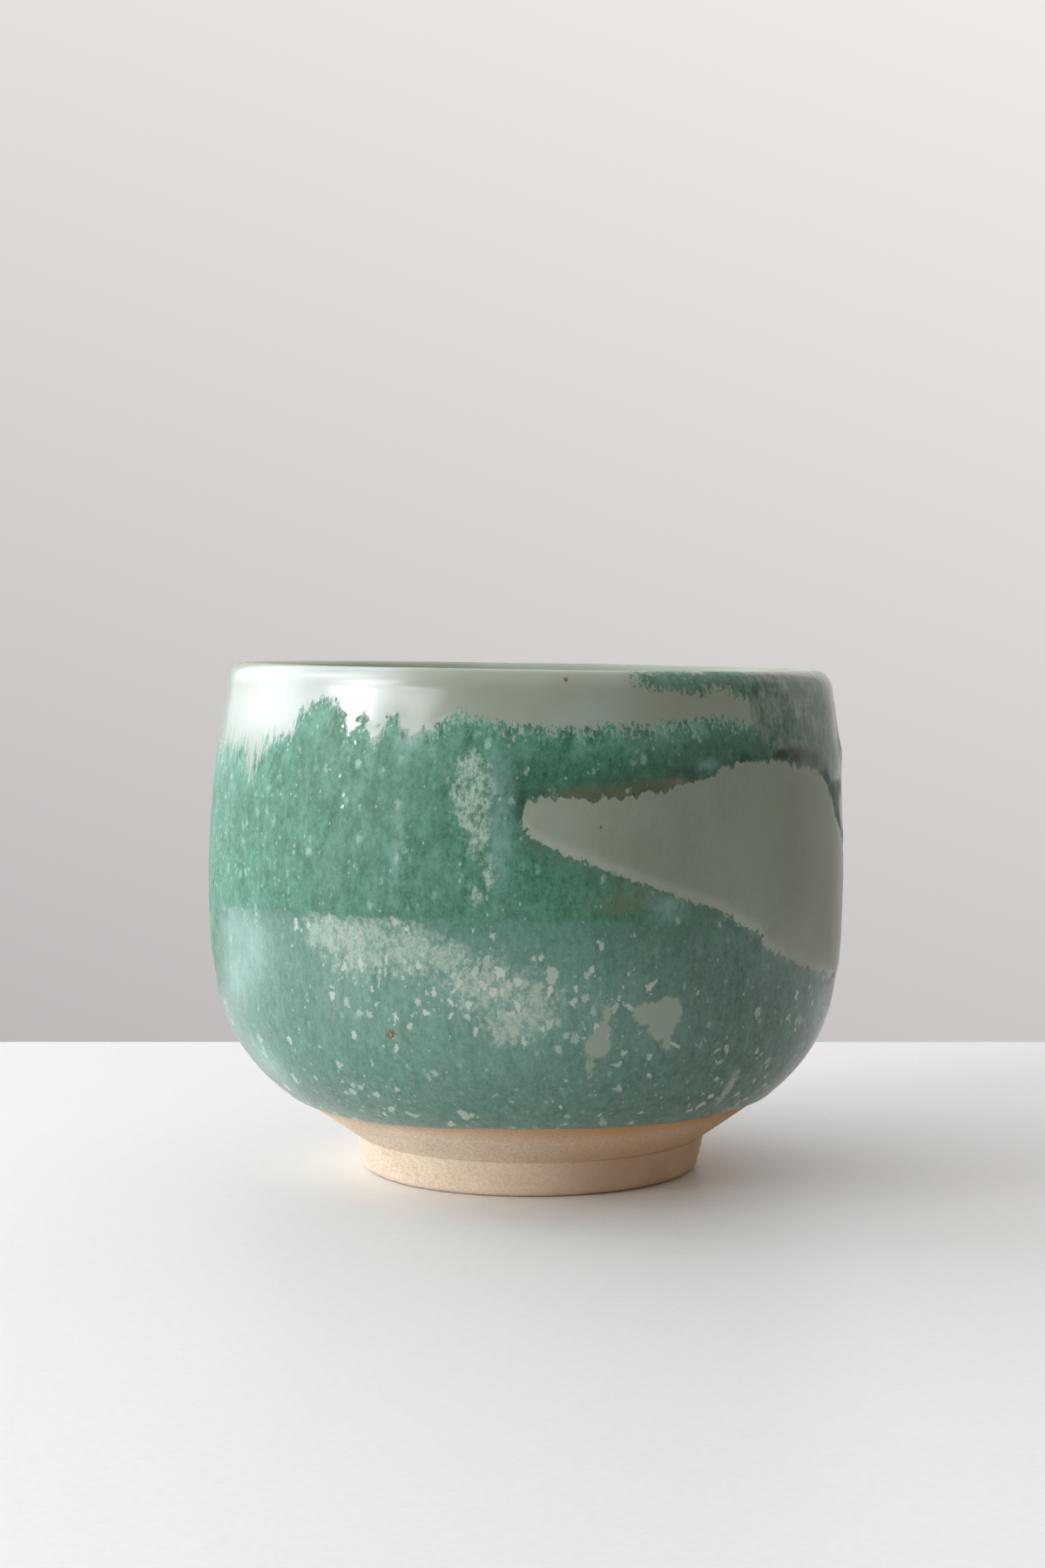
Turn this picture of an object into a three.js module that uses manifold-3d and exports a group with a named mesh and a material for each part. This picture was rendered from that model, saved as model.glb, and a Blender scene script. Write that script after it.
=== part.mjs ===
// A hand-thrown stoneware cup: a thrown bowl on a trimmed foot ring, lined with pale glaze and
// poured outside in overlapping green and pale coats.
// Millimetres, +Z up. The origin is on the table under the belly, and the front faces -Y.

import * as THREE from 'three';
import { mergeVertices } from 'three/addons/utils/BufferGeometryUtils.js';
import Module from 'manifold-3d';

const wasm = await Module();
wasm.setup();

// Overall form, measured over the glaze
const bellyDiameter = 100;
const bellyHeight = 46.6; // widest point above the table
const rimHeight = 79.3; // top of the lip, on average

// Clay of the bowl
const wallCurveRadius = 182; // upright sweep of the wall
const turnHeight = 31; // where the wall begins to turn under
const bellyCurveRadius = 24.5; // the turn into the underside
const wallThickness = 3.4;
const floorThickness = 5.4;
const floorTurn = 22; // degrees left between the inside curve and the floor where they join
const lipOuterWidth = 2.1; // from the crest of the lip out to the wall
const lipOuterDrop = 3;
const lipInnerDrop = 1.6;

// Clay of the foot ring
const footHeight = 5.5;
const footTopRadius = 27.6;
const footBottomRadius = 26.7;
const footLedge = 0.4; // how far the ring stands out from the underside
const footRingWidth = 5.6; // at the top, where it joins the bowl
const footInnerFlare = 0.9; // how much wider the hole is at the table
const footEdge = 0.5; // bevel along the resting face

// Glaze
const upperCoat = 0.72;
const lowerCoat = 0.32;
const rimCoat = 0.6;
const windowCoat = 0.72;
const linerCoat = 0.5;
const glazeLineHeight = 12.3; // bare clay below this
const dipLineHeight = 44.2; // where the upper coat stops at the front
const dipSagDepth = 12.8; // how far below that it runs at the sides
const rimBandDepth = 13.6; // deepest reach of the rim coat below the lip
const windowRise = 21; // top of the pale patch above the dip line
const bondGap = 0.05; // between a coat and the clay
const seamGap = 0.3; // between two coats

// Hand-made lean: all of it fades out at the belly
const rimShift = 0.7; // to the right
const footShift = 0.7; // to the right
const rimRise = 0.65; // the lip is higher on the left by this much, and lower on the right

// Lower edge of the rim coat: [bearing from the front in degrees, share of the band's depth]
const rimEdgeKnots = [
  [-172, 0.66], [-146, 0.54], [-118, 0.76], [-94, 0.98], [-66, 1], [-53, 0.79], [-43, 0.32], [-36, 0.35],
  [-30, 0.65], [-24, 0.71], [-10, 0.47], [-2, 0.57], [30, 0.55], [52, 0.43], [72, 0.36], [98, 0.54],
  [124, 0.76], [150, 0.57],
];

// Lower edge of the upper coat: [bearing, share of its deepest sag below the dip line]
const dipEdgeKnots = [
  [-170, 0.02], [-140, 0.09], [-118, 0.48], [-96, 0.91], [-80, 0.89], [-73, 0.64], [-66, 0.17], [-52, 0.05],
  [0, 0], [27, 0.09], [38, 0.33], [46, 0.58], [58, 0.83], [72, 1], [88, 0.95], [110, 0.56], [135, 0.09],
];

// Pale patch on the right of the front: [bearing, share of its rise above the dip line]
const windowTopKnots = [
  [-0.5, 0.69], [1, 0.82], [6, 0.85], [14, 0.86], [28, 0.92], [38, 1], [50, 1], [64, 0.94], [70, 0.75],
  [73, 0.28],
];
const windowBottomKnots = [
  [-0.5, 0.69], [0.3, 0.57], [6.5, 0.42], [13.5, 0.27], [21, 0.11], [29, 0.04], [38.5, -0.1], [45, -0.26],
  [57, -0.42], [66, -0.49], [71, -0.3], [73, 0.28],
];

// Facets
const turnSteps = 40; // around the cup
const edgeSteps = 80; // around a coat's edge
const windowSteps = 28;
const bellySteps = 5;
const wallSteps = 5;
const lipSteps = 3;
const floorSteps = 3;

const degrees = THREE.MathUtils.degToRad;
const smoothstep = THREE.MathUtils.smoothstep;
const point = (x, y) => new THREE.Vector2(x, y);

// Half profile of the clay. The wall is one long arc, the belly a short arc inside it, and the
// underside the straight line from the foot that touches the belly arc.
const clayRadius = bellyDiameter / 2 - upperCoat;
const crestHeight = rimHeight - rimCoat;
const floorHeight = footHeight + floorThickness;
const seat = point(footTopRadius - footLedge, footHeight);
const wallCentre = point(clayRadius - wallCurveRadius, bellyHeight);
const turnAngle = Math.asin((turnHeight - bellyHeight) / wallCurveRadius);
const bellyCentre = onCircle(wallCentre, wallCurveRadius - bellyCurveRadius, turnAngle);

function onCircle(centre, radius, angle) {
  return point(centre.x + radius * Math.cos(angle), centre.y + radius * Math.sin(angle));
}

function arc(centre, radiusX, radiusY, from, to, steps) {
  return new THREE.EllipseCurve(centre.x, centre.y, radiusX, radiusY, from, to, to < from).getPoints(steps);
}

function undersideAngle() {
  const reach = seat.clone().sub(bellyCentre);
  return Math.atan2(reach.y, reach.x) + Math.acos(bellyCurveRadius / reach.length());
}

function wallAngleAt(height, radius) {
  return Math.asin((height - bellyHeight) / radius);
}

const lipStart = onCircle(
  wallCentre, wallCurveRadius, wallAngleAt(crestHeight - lipOuterDrop, wallCurveRadius),
);
const crest = point(lipStart.x - lipOuterWidth, crestHeight);

// Outside of the clay, from the foot up to the crest of the lip
function outsideOutline() {
  const lipAngle = wallAngleAt(lipStart.y, wallCurveRadius);
  const lipCentre = point(crest.x, lipStart.y);
  return [
    seat,
    ...arc(bellyCentre, bellyCurveRadius, bellyCurveRadius, undersideAngle(), turnAngle, bellySteps),
    ...arc(wallCentre, wallCurveRadius, wallCurveRadius, turnAngle, lipAngle, wallSteps).slice(1),
    ...arc(lipCentre, lipOuterWidth, lipOuterDrop, 0, Math.PI / 2, lipSteps).slice(1),
  ];
}

// Inside of the clay, from the crest of the lip down to the middle of the floor
function insideOutline() {
  const insideWall = wallCurveRadius - wallThickness;
  const insideBelly = bellyCurveRadius - wallThickness;
  const lipEnd = crest.y - lipInnerDrop;
  const lipAngle = wallAngleAt(lipEnd, insideWall);
  const lipInnerWidth = crest.x - onCircle(wallCentre, insideWall, lipAngle).x;
  const floorAngle = degrees(floorTurn) - Math.PI / 2;
  const floorStart = onCircle(bellyCentre, insideBelly, floorAngle);
  const floorRun = (floorStart.y - floorHeight) / Math.tan(degrees(floorTurn));
  const floorBend = point(floorStart.x - floorRun, floorHeight);
  const floor = new THREE.QuadraticBezierCurve(floorStart, floorBend, point(0, floorHeight));
  return [
    ...arc(point(crest.x, lipEnd), lipInnerWidth, lipInnerDrop, Math.PI / 2, Math.PI, lipSteps),
    ...arc(wallCentre, insideWall, insideWall, lipAngle, turnAngle, wallSteps).slice(1),
    ...arc(bellyCentre, insideBelly, insideBelly, turnAngle, floorAngle, bellySteps).slice(1),
    ...floor.getPoints(floorSteps).slice(1),
  ];
}

// The outline moved out from the clay by a distance, square to itself; its ends keep their heading
function offset(outline, distance) {
  return outline.map((at, i) => {
    const before = outline[Math.max(i - 1, 0)];
    const after = outline[Math.min(i + 1, outline.length - 1)];
    const along = after.clone().sub(before).normalize();
    const out = at.clone().addScaledVector(point(along.y, -along.x), distance);
    return at.x === 0 ? point(0, out.y) : out;
  });
}

// A lean that a thrown cup keeps from the wheel and the kiln
function settle(geometry) {
  const place = geometry.attributes.position;
  for (let i = 0; i < place.count; i++) {
    const height = place.getZ(i);
    const upper = smoothstep(height, bellyHeight, rimHeight);
    const lower = 1 - smoothstep(height, footHeight, turnHeight);
    const rise = (-rimRise * place.getX(i)) / crest.x;
    place.setX(i, place.getX(i) + rimShift * upper + footShift * lower);
    place.setZ(i, height + rise * upper);
  }
  return geometry;
}

// Turns a half profile about Z. Bearing 0 is the front, and bearings grow to the right.
function turned(profile, steps = turnSteps, start = 0, sweep = Math.PI * 2) {
  return new THREE.LatheGeometry(profile, steps, start, sweep).rotateX(Math.PI / 2);
}

function weld(geometry) {
  const bare = new THREE.BufferGeometry();
  bare.setAttribute('position', geometry.attributes.position);
  bare.setIndex(geometry.index);
  const joined = mergeVertices(bare);
  const corners = joined.index.array;
  const kept = [];
  for (let i = 0; i < corners.length; i += 3) {
    const [a, b, c] = corners.slice(i, i + 3);
    if (a !== b && b !== c && c !== a) kept.push(a, b, c);
  }
  joined.setIndex(kept);
  return joined;
}

function solid(geometry) {
  const joined = weld(geometry);
  const vertProperties = new Float32Array(joined.attributes.position.array);
  const triVerts = new Uint32Array(joined.index.array);
  return new wasm.Manifold(new wasm.Mesh({ numProp: 3, vertProperties, triVerts }));
}

function surface(body) {
  const mesh = body.getMesh();
  const geometry = new THREE.BufferGeometry();
  geometry.setAttribute('position', new THREE.BufferAttribute(mesh.vertProperties, 3));
  geometry.setIndex(new THREE.BufferAttribute(mesh.triVerts, 1));
  return geometry;
}

// A smooth edge through knots given by bearing; around the whole cup it closes on itself
function through(knots) {
  const bearings = knots.map((knot) => knot[0]);
  const shares = knots.map((knot) => knot[1]);
  const curve = new THREE.CubicInterpolant(bearings, shares, 1, [0]);
  return (bearing) => curve.evaluate(bearing)[0];
}

function around(knots) {
  const shifted = (turns) => knots.map(([bearing, share]) => [bearing + 360 * turns, share]);
  return through([...shifted(-1), ...knots, ...shifted(1)]);
}

const rimShare = around(rimEdgeKnots);
const dipShare = around(dipEdgeKnots);
const windowTopShare = through(windowTopKnots);
const windowBottomShare = through(windowBottomKnots);
const rimEdge = (bearing) => rimHeight - rimBandDepth * rimShare(bearing);
const dipEdge = (bearing) => dipLineHeight - dipSagDepth * dipShare(bearing);
const windowTop = (bearing) => dipLineHeight + windowRise * windowTopShare(bearing);
const windowBottom = (bearing) => dipLineHeight + windowRise * windowBottomShare(bearing);

// A ring, wide enough to pass right through a coat, whose lower and upper faces follow two edges
function edgeRing(low, high, steps = edgeSteps, start = -Math.PI, sweep = Math.PI * 2) {
  const inner = seat.x / 2;
  const outer = bellyDiameter;
  const section = [point(inner, 0), point(outer, 0), point(outer, 1), point(inner, 1), point(inner, 0)];
  const ring = turned(section, steps, start, sweep);
  const place = ring.attributes.position;
  for (let i = 0; i < place.count; i++) {
    const bearing = THREE.MathUtils.radToDeg(Math.atan2(place.getX(i), -place.getY(i)));
    const edge = place.getZ(i) < 0.5 ? low : high;
    place.setZ(i, edge(bearing));
  }
  return solid(ring);
}

// All that lies under a coat's edge. The coat above the edge starts a seam higher.
function under(edge, seam = 0) {
  return edgeRing(() => -rimHeight, (bearing) => edge(bearing) + seam);
}

// The patch is pinched to a point at both of its ends. A margin makes it that much larger all round.
function windowBody(margin) {
  const first = windowTopKnots[0][0];
  const last = windowTopKnots.at(-1)[0];
  const middle = (first + last) / 2;
  const marginAngle = THREE.MathUtils.radToDeg(margin / clayRadius);
  const stretch = (last - first) / (last - first + 2 * marginAngle);
  const inPatch = (bearing) => THREE.MathUtils.clamp(middle + (bearing - middle) * stretch, first, last);
  const low = (bearing) => windowBottom(inPatch(bearing)) - margin;
  const high = (bearing) => windowTop(inPatch(bearing)) + margin;
  const start = first - marginAngle;
  const sweep = last - first + 2 * marginAngle;
  const pinched = (edge) => (bearing) => {
    const inside = THREE.MathUtils.clamp((bearing - start) / sweep, 0, 1);
    const end = inside < 1e-4 || inside > 1 - 1e-4;
    return end ? (low(bearing) + high(bearing)) / 2 : edge(bearing);
  };
  return edgeRing(pinched(low), pinched(high), windowSteps, degrees(start), degrees(sweep));
}

// A coat over the whole outside of the clay, before its edges are cut
function outsideCoat(thickness) {
  const outline = outsideOutline();
  const outer = offset(outline, thickness);
  const inner = offset(outline, bondGap).reverse();
  return solid(settle(turned([...outer, ...inner, outer[0]])));
}

const glazeLine = () => glazeLineHeight;
const windowRoom = windowBody(seamGap);

function thrownBowl() {
  const profile = [point(0, footHeight), ...outsideOutline(), ...insideOutline().slice(1)];
  return weld(settle(turned(profile)));
}

function footRing() {
  const innerTop = footTopRadius - footRingWidth;
  const innerBottom = innerTop + footInnerFlare;
  const profile = [
    point(innerBottom, footEdge),
    point(innerBottom + footEdge, 0),
    point(footBottomRadius - footEdge, 0),
    point(footBottomRadius, footEdge),
    point(footTopRadius, footHeight),
    point(innerTop, footHeight),
    point(innerBottom, footEdge),
  ];
  return weld(settle(turned(profile)));
}

function linerGlaze() {
  const outline = insideOutline();
  outline[0] = point(crest.x - seamGap, crest.y);
  const outer = offset(outline, linerCoat);
  const inner = offset(outline, bondGap).reverse();
  return weld(settle(turned([...inner, ...outer])));
}

function rimGlaze() {
  return surface(outsideCoat(rimCoat).subtract(under(rimEdge, seamGap)).subtract(windowRoom));
}

function upperGreenGlaze() {
  const coat = outsideCoat(upperCoat).intersect(under(rimEdge));
  return surface(coat.subtract(under(dipEdge, seamGap)).subtract(windowRoom));
}

function lowerGreenGlaze() {
  const coat = outsideCoat(lowerCoat).intersect(under(dipEdge));
  return surface(coat.subtract(under(glazeLine)).subtract(windowRoom));
}

function windowGlaze() {
  return surface(outsideCoat(windowCoat).intersect(windowBody(0)));
}

function piece(name, geometry, color, roughness) {
  const mesh = new THREE.Mesh(geometry, new THREE.MeshStandardMaterial({ color, roughness, metalness: 0 }));
  mesh.name = name;
  return mesh;
}

const cup = new THREE.Group();
cup.add(
  piece('thrown_bowl', thrownBowl(), 0xc9b69c, 0.9),
  piece('foot_ring', footRing(), 0xcdbba2, 0.9),
  piece('liner_glaze', linerGlaze(), 0xa9b3a1, 0.15),
  piece('rim_glaze', rimGlaze(), 0xa3ae9d, 0.12),
  piece('upper_green_glaze', upperGreenGlaze(), 0x5a8f75, 0.1),
  piece('lower_green_glaze', lowerGreenGlaze(), 0x6e9687, 0.12),
  piece('window_glaze', windowGlaze(), 0x8a9788, 0.15),
);

export default cup;
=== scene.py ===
import itertools
import math
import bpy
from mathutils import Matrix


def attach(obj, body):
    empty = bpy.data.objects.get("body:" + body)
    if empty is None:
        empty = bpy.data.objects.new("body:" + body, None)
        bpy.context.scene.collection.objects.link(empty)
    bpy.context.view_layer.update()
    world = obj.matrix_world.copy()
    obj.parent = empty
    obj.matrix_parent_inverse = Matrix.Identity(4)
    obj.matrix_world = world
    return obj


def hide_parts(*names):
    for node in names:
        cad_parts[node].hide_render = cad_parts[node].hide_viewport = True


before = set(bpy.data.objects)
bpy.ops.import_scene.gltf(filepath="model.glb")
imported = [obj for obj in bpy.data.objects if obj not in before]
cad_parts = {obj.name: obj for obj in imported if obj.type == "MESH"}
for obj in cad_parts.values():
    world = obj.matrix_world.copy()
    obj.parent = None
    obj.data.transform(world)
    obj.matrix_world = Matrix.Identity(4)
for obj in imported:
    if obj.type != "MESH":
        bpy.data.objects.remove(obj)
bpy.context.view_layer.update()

from types import SimpleNamespace

import bpy
import numpy as np
from mathutils import Vector, noise

mm = 0.001

# the cup in millimetres, bearing 0 faces the camera and bearings grow to the right
cup = {
    "belly": 50.0, "bellyHeight": 46.6, "rimHeight": 79.3, "wallCurve": 182.0, "turnHeight": 31.0,
    "bellyCurve": 24.5, "wall": 3.4, "floor": 5.4, "floorTurn": 22.0,
    "lipOut": 2.1, "lipDrop": 3.0, "lipIn": 1.6, "rimShift": 0.7, "footShift": 0.7, "rimRise": 0.65,
    "profileStep": 0.1, "profileSoften": 4.0,
}
foot = {"height": 5.5, "top": 27.6, "bottom": 26.7, "ledge": 0.05, "width": 5.6, "flare": 0.9, "edge": 1.1}
coat = {"upper": 0.72, "lower": 0.32, "rim": 0.66, "liner": 0.5, "glazeLine": 12.3, "bond": 0.05,
        "wander": 0.35, "ripple": 0.2, "strip": 1.2, "stripUnderRim": 2.6}
mesh = {"columns": 480, "lower": 56, "under": 12, "window": 40, "over": 16, "rim": 22, "inside": 84}

# edges of the poured glazes: bearing in degrees, height in millimetres
rimKnots = [
    (-172, 70.3), (-160, 73), (-151, 69.6), (-146, 72), (-136, 71), (-128, 66.8), (-118, 69),
    (-106, 67.2), (-94, 66), (-80, 66.2), (-69.5, 67.6), (-60, 66.4), (-57.6, 64.8), (-55, 65),
    (-53, 67.8), (-49.5, 68.9), (-45, 69.8), (-43.8, 73), (-41, 74.2), (-39, 75), (-35, 74.4),
    (-33.8, 73.6), (-33, 70.4), (-32, 69.2), (-31.2, 70.4), (-30.4, 73), (-29, 73.2), (-28.4, 70.8),
    (-27.4, 68.2), (-26.5, 69.4), (-25.6, 72.2), (-24.6, 73.6), (-22, 71.1), (-19.5, 69.2),
    (-18.3, 71.1), (-17, 70.3), (-14, 72.5), (-11.5, 73.5), (-9, 72.7), (-4, 71.5), (8, 71.1),
    (23.5, 71.7), (34.5, 72.7), (41, 71.3), (44, 73), (72, 74), (98, 72), (107, 70), (116, 72.6),
    (124, 68.4), (131, 67), (139, 71.4), (150, 72.4), (158, 69), (163, 66.6), (171, 71),
]
dipKnots = [
    (-170, 44), (-140, 43), (-118, 38), (-96, 32.6), (-82.5, 32.6), (-75, 35.7), (-72.5, 40),
    (-70, 42.8), (-51, 43.6), (-39.5, 44), (-15, 44.2), (0, 44.2), (14, 43.6), (27.5, 43), (40, 43.6),
    (66, 43), (70.5, 38), (73, 31.5), (88, 32), (110, 37), (135, 43),
]
windowTop = [
    (-0.7, 58), (-0.4, 59.6), (0.1, 60.6), (1, 61.3), (2.5, 61.6), (7, 61), (11.5, 60.9), (17, 61.3),
    (22.5, 62.3), (29.5, 63.1), (32, 63.7), (34.5, 65.2), (40, 65.6), (46, 65.8), (56, 64.6), (61, 63.7),
    (65.5, 62.1), (68, 60), (71, 56.8), (74, 54.8), (79, 52.8), (86, 50), (90, 46), (91.5, 41),
]
windowLow = [
    (-0.7, 58), (-0.4, 57), (0.1, 56.2), (1, 55.4), (2.5, 54.8), (7.5, 53), (16, 50.1), (25.5, 47.1),
    (34.5, 44.6), (38.5, 42.6), (42.5, 41.2), (45, 38.6), (51, 36.5), (61, 33.9), (70.5, 32.4),
    (80, 31.8), (87, 33.5), (90.5, 37), (91.5, 41),
]
# where the shells of the window and the coats around it meet
patchHigh = [
    (-180, 60), (-10, 60), (0, 60.5), (2, 62), (14, 62.2), (28, 63.5), (38, 65.2), (50, 65.2),
    (64, 63.9), (71, 59), (80, 55), (88, 52), (96, 52), (140, 60),
]
patchLow = [
    (-180, 52), (-10, 55), (0, 56), (6.5, 53), (13.5, 49.9), (21, 46.5), (29, 45), (38.5, 42),
    (45, 38.7), (57, 35.4), (66, 33.4), (80, 32.6), (87, 34), (93, 39), (110, 52),
]
patchSpan = (-0.4, 91.2)
shellDip = [
    (-170, 44), (-140, 43), (-118, 38), (-96, 32.6), (-80, 32.8), (-73, 36), (-66, 42), (-52, 43.6),
    (0, 44.2), (27, 43), (38, 40), (46, 36.8), (58, 33.6), (72, 31.4), (88, 32), (110, 37), (135, 43),
]


def bow(centre, radii, start, end, count=80):
    angle = np.radians(np.linspace(start, end, count + 1))
    return np.column_stack((centre[0] + radii[0] * np.cos(angle), centre[1] + radii[1] * np.sin(angle)))


def evenly(points, step):
    run = np.concatenate(([0.0], np.cumsum(np.hypot(*np.diff(points, axis=0).T))))
    at = np.linspace(0.0, run[-1], int(run[-1] / step) + 1)
    return np.column_stack([np.interp(at, run, points[:, axis]) for axis in (0, 1)])


def soften(values, width):
    reach = int(3 * width) + 1
    weights = np.exp(-0.5 * (np.arange(-reach, reach + 1) / width) ** 2)
    before = 2 * values[:1] - values[reach:0:-1]
    after = 2 * values[-1:] - values[-2:-reach - 2:-1]
    return np.convolve(np.concatenate((before, values, after)), weights / weights.sum(), "valid")


def ease(value, low, high):
    share = np.clip((value - low) / (high - low), 0.0, 1.0)
    return share * share * (3 - 2 * share)


# the clay from the foot up the outside, over the lip and down the inside to the middle of the floor
def claySkin():
    clay = cup["belly"] - coat["upper"]
    crestZ = cup["rimHeight"] - coat["rim"]
    wallX, wallZ = clay - cup["wallCurve"], cup["bellyHeight"]
    turn = math.asin((cup["turnHeight"] - wallZ) / cup["wallCurve"])
    reach = cup["wallCurve"] - cup["bellyCurve"]
    bellyX, bellyZ = wallX + reach * math.cos(turn), wallZ + reach * math.sin(turn)
    seatX, seatZ = foot["top"] - foot["ledge"], foot["height"]
    away = math.hypot(seatX - bellyX, seatZ - bellyZ)
    under = math.atan2(seatZ - bellyZ, seatX - bellyX) + math.acos(cup["bellyCurve"] / away)
    lipZ = crestZ - cup["lipDrop"]
    lipTurn = math.asin((lipZ - wallZ) / cup["wallCurve"])
    crestX = wallX + cup["wallCurve"] * math.cos(lipTurn) - cup["lipOut"]
    inWall, inBelly = cup["wallCurve"] - cup["wall"], cup["bellyCurve"] - cup["wall"]
    inLipZ = crestZ - cup["lipIn"]
    inTurn = math.asin((inLipZ - wallZ) / inWall)
    inLip = crestX - (wallX + inWall * math.cos(inTurn))
    floorZ = foot["height"] + cup["floor"]
    floorTurn = math.radians(cup["floorTurn"])
    startX, startZ = bellyX + inBelly * math.sin(floorTurn), bellyZ - inBelly * math.cos(floorTurn)
    bendX = startX - (startZ - floorZ) / math.tan(floorTurn)
    share = np.linspace(0, 1, 60)[:, None]
    start, bend, middle = (startX, startZ), (bendX, floorZ), (0, floorZ)
    floorLine = (1 - share) ** 2 * start + 2 * share * (1 - share) * bend + share ** 2 * middle
    turn, under, lipTurn, inTurn = np.degrees((turn, under, lipTurn, inTurn))
    points = np.vstack((
        [(seatX, seatZ)],
        bow((bellyX, bellyZ), (cup["bellyCurve"],) * 2, under, turn),
        bow((wallX, wallZ), (cup["wallCurve"],) * 2, turn, lipTurn)[1:],
        bow((crestX, lipZ), (cup["lipOut"], cup["lipDrop"]), 0, 90)[1:],
        bow((crestX, inLipZ), (inLip, cup["lipIn"]), 90, 180)[1:],
        bow((wallX, wallZ), (inWall,) * 2, inTurn, turn)[1:],
        bow((bellyX, bellyZ), (inBelly,) * 2, turn, cup["floorTurn"] - 90)[1:],
        floorLine[1:]))
    line = evenly(points, cup["profileStep"])
    r, z = (soften(line[:, axis], cup["profileSoften"]) for axis in (0, 1))
    r, z = r[z >= seatZ], z[z >= seatZ]
    run = np.concatenate(([0.0], np.cumsum(np.hypot(np.diff(r), np.diff(z)))))
    length = np.hypot(np.gradient(r), np.gradient(z))
    return {"run": run, "r": r, "z": z, "nr": np.gradient(z) / length, "nz": -np.gradient(r) / length,
            "crest": run[np.argmax(z)], "end": run[-1], "crestX": crestX}


skin = claySkin()


def along(run, out=0.0):
    r, z, nr, nz = (np.interp(run, skin["run"], skin[key]) for key in ("r", "z", "nr", "nz"))
    return r + out * nr, z + out * nz


def runAt(height):
    top = np.argmax(skin["z"])
    return np.interp(height, skin["z"][:top], skin["run"][:top])


# the lean kept from the wheel and the kiln
def settle(x, y, z):
    upper = ease(z, cup["bellyHeight"], cup["rimHeight"])
    lower = 1 - ease(z, foot["height"], cup["turnHeight"])
    rise = -cup["rimRise"] * x / skin["crestX"]
    return np.stack((x + cup["rimShift"] * upper + cup["footShift"] * lower, y, z + rise * upper), -1)


def turned(bearing, r, z):
    return settle(r * np.sin(bearing), -r * np.cos(bearing), z)


# the same place before the lean, which the paint follows
def around(bearing, r, z):
    return np.stack((r * np.sin(bearing), -r * np.cos(bearing), z), -1)


def edgeAt(knots, bearing, width=0.6):
    fine = np.arange(-180, 180, 0.25)
    line = np.interp(fine, *np.array(knots, float).T, period=360)
    reach = int(16 * width)
    weights = np.exp(-0.5 * (np.arange(-reach, reach + 1) / (4 * width)) ** 2)
    line = np.convolve(np.pad(line, reach, "wrap"), weights / weights.sum(), "valid")
    return np.interp(bearing, fine, line, period=360)


def lumps(points, size, seed):
    spots = points.reshape(-1, 3) / size + seed
    return np.array([noise.noise(Vector(spot)) for spot in spots]).reshape(points.shape[:-1])


# distance in millimetres to an outline of bearing and height, positive inside
def insideOutline(outline, bearing, height):
    scale = math.radians(1) * 49.5   # millimetres of wall in a degree
    px, pz = bearing.ravel() * scale, height.ravel()
    best = np.full(px.shape, 1e9)
    inside = np.zeros(px.shape, bool)
    corners = [(b * scale, h) for b, h in outline]
    for (ax, az), (bx, bz) in zip(corners, corners[1:] + corners[:1]):
        ux, uz = bx - ax, bz - az
        share = np.clip(((px - ax) * ux + (pz - az) * uz) / (ux * ux + uz * uz), 0, 1)
        best = np.minimum(best, np.hypot(px - ax - share * ux, pz - az - share * uz))
        crosses = ((az > pz) != (bz > pz)) & (px < ax + (pz - az) * ux / (uz if uz else 1e-9))
        inside ^= crosses
    return np.where(inside, best, -best).reshape(bearing.shape)


# grid that runs round the cup and from the glaze line over the lip to the floor
def glazeGrid():
    degrees = -180 + 360 / mesh["columns"] * np.arange(mesh["columns"])
    bearing = np.radians(degrees)

    def runOf(height):
        rise = -cup["rimRise"] * np.sin(bearing) * ease(height, cup["bellyHeight"], cup["rimHeight"])
        return runAt(height - rise)

    wander = coat["wander"] * np.sin(bearing * 2 + 0.6) + coat["ripple"] * np.sin(bearing * 5 + 2)
    glaze = runOf(coat["glazeLine"] + wander)
    dip = runOf(edgeAt(shellDip, degrees, 1.0))
    rim = runOf(edgeAt(rimKnots, degrees, 2.0))
    strip = coat["strip"]
    low = np.clip(runOf(edgeAt(patchLow, degrees, 1.0)), dip + strip, rim - coat["stripUnderRim"])
    high = np.clip(runOf(edgeAt(patchHigh, degrees, 1.0)), low + strip, rim - strip)
    crest, middle = np.full_like(rim, skin["crest"]), np.full_like(rim, skin["end"] - 0.5)
    stops = [(glaze, dip, "lower"), (dip, low, "under"), (low, high, "window"), (high, rim, "over"),
             (rim, crest, "rim"), (crest, middle, "inside")]
    parts, firstRow, row = [], {}, 0
    for start, end, key in stops:
        share = np.arange(mesh[key]) / mesh[key]
        parts.append(start[:, None] + (end - start)[:, None] * share)
        firstRow[key] = row
        row += mesh[key]
    firstRow["end"] = row
    run = np.hstack(parts + [middle[:, None]])
    return degrees[:, None] + 0 * run, run, firstRow


gridBearing, gridRun, gridRow = glazeGrid()
gridTurn = np.radians(gridBearing)
bareR, bareZ = along(gridRun)
bare = turned(gridTurn, bareR, bareZ)
isInside = gridRun > skin["crest"]
gridHeight = bare[..., 2]
print("glaze grid", gridRun.shape)


far = 30.0   # stands for a place well away from every edge
edgeSets = {"edges": ("rimRise", "dipRise", "window"), "window": ("overTop", "overLow", "fromGlaze")}
tear = {"reach": 1.7, "size": 0.9}   # ragged sides on the drips


def riseOver(line, instead):
    return np.where(isInside, instead, gridHeight - line)


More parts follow.
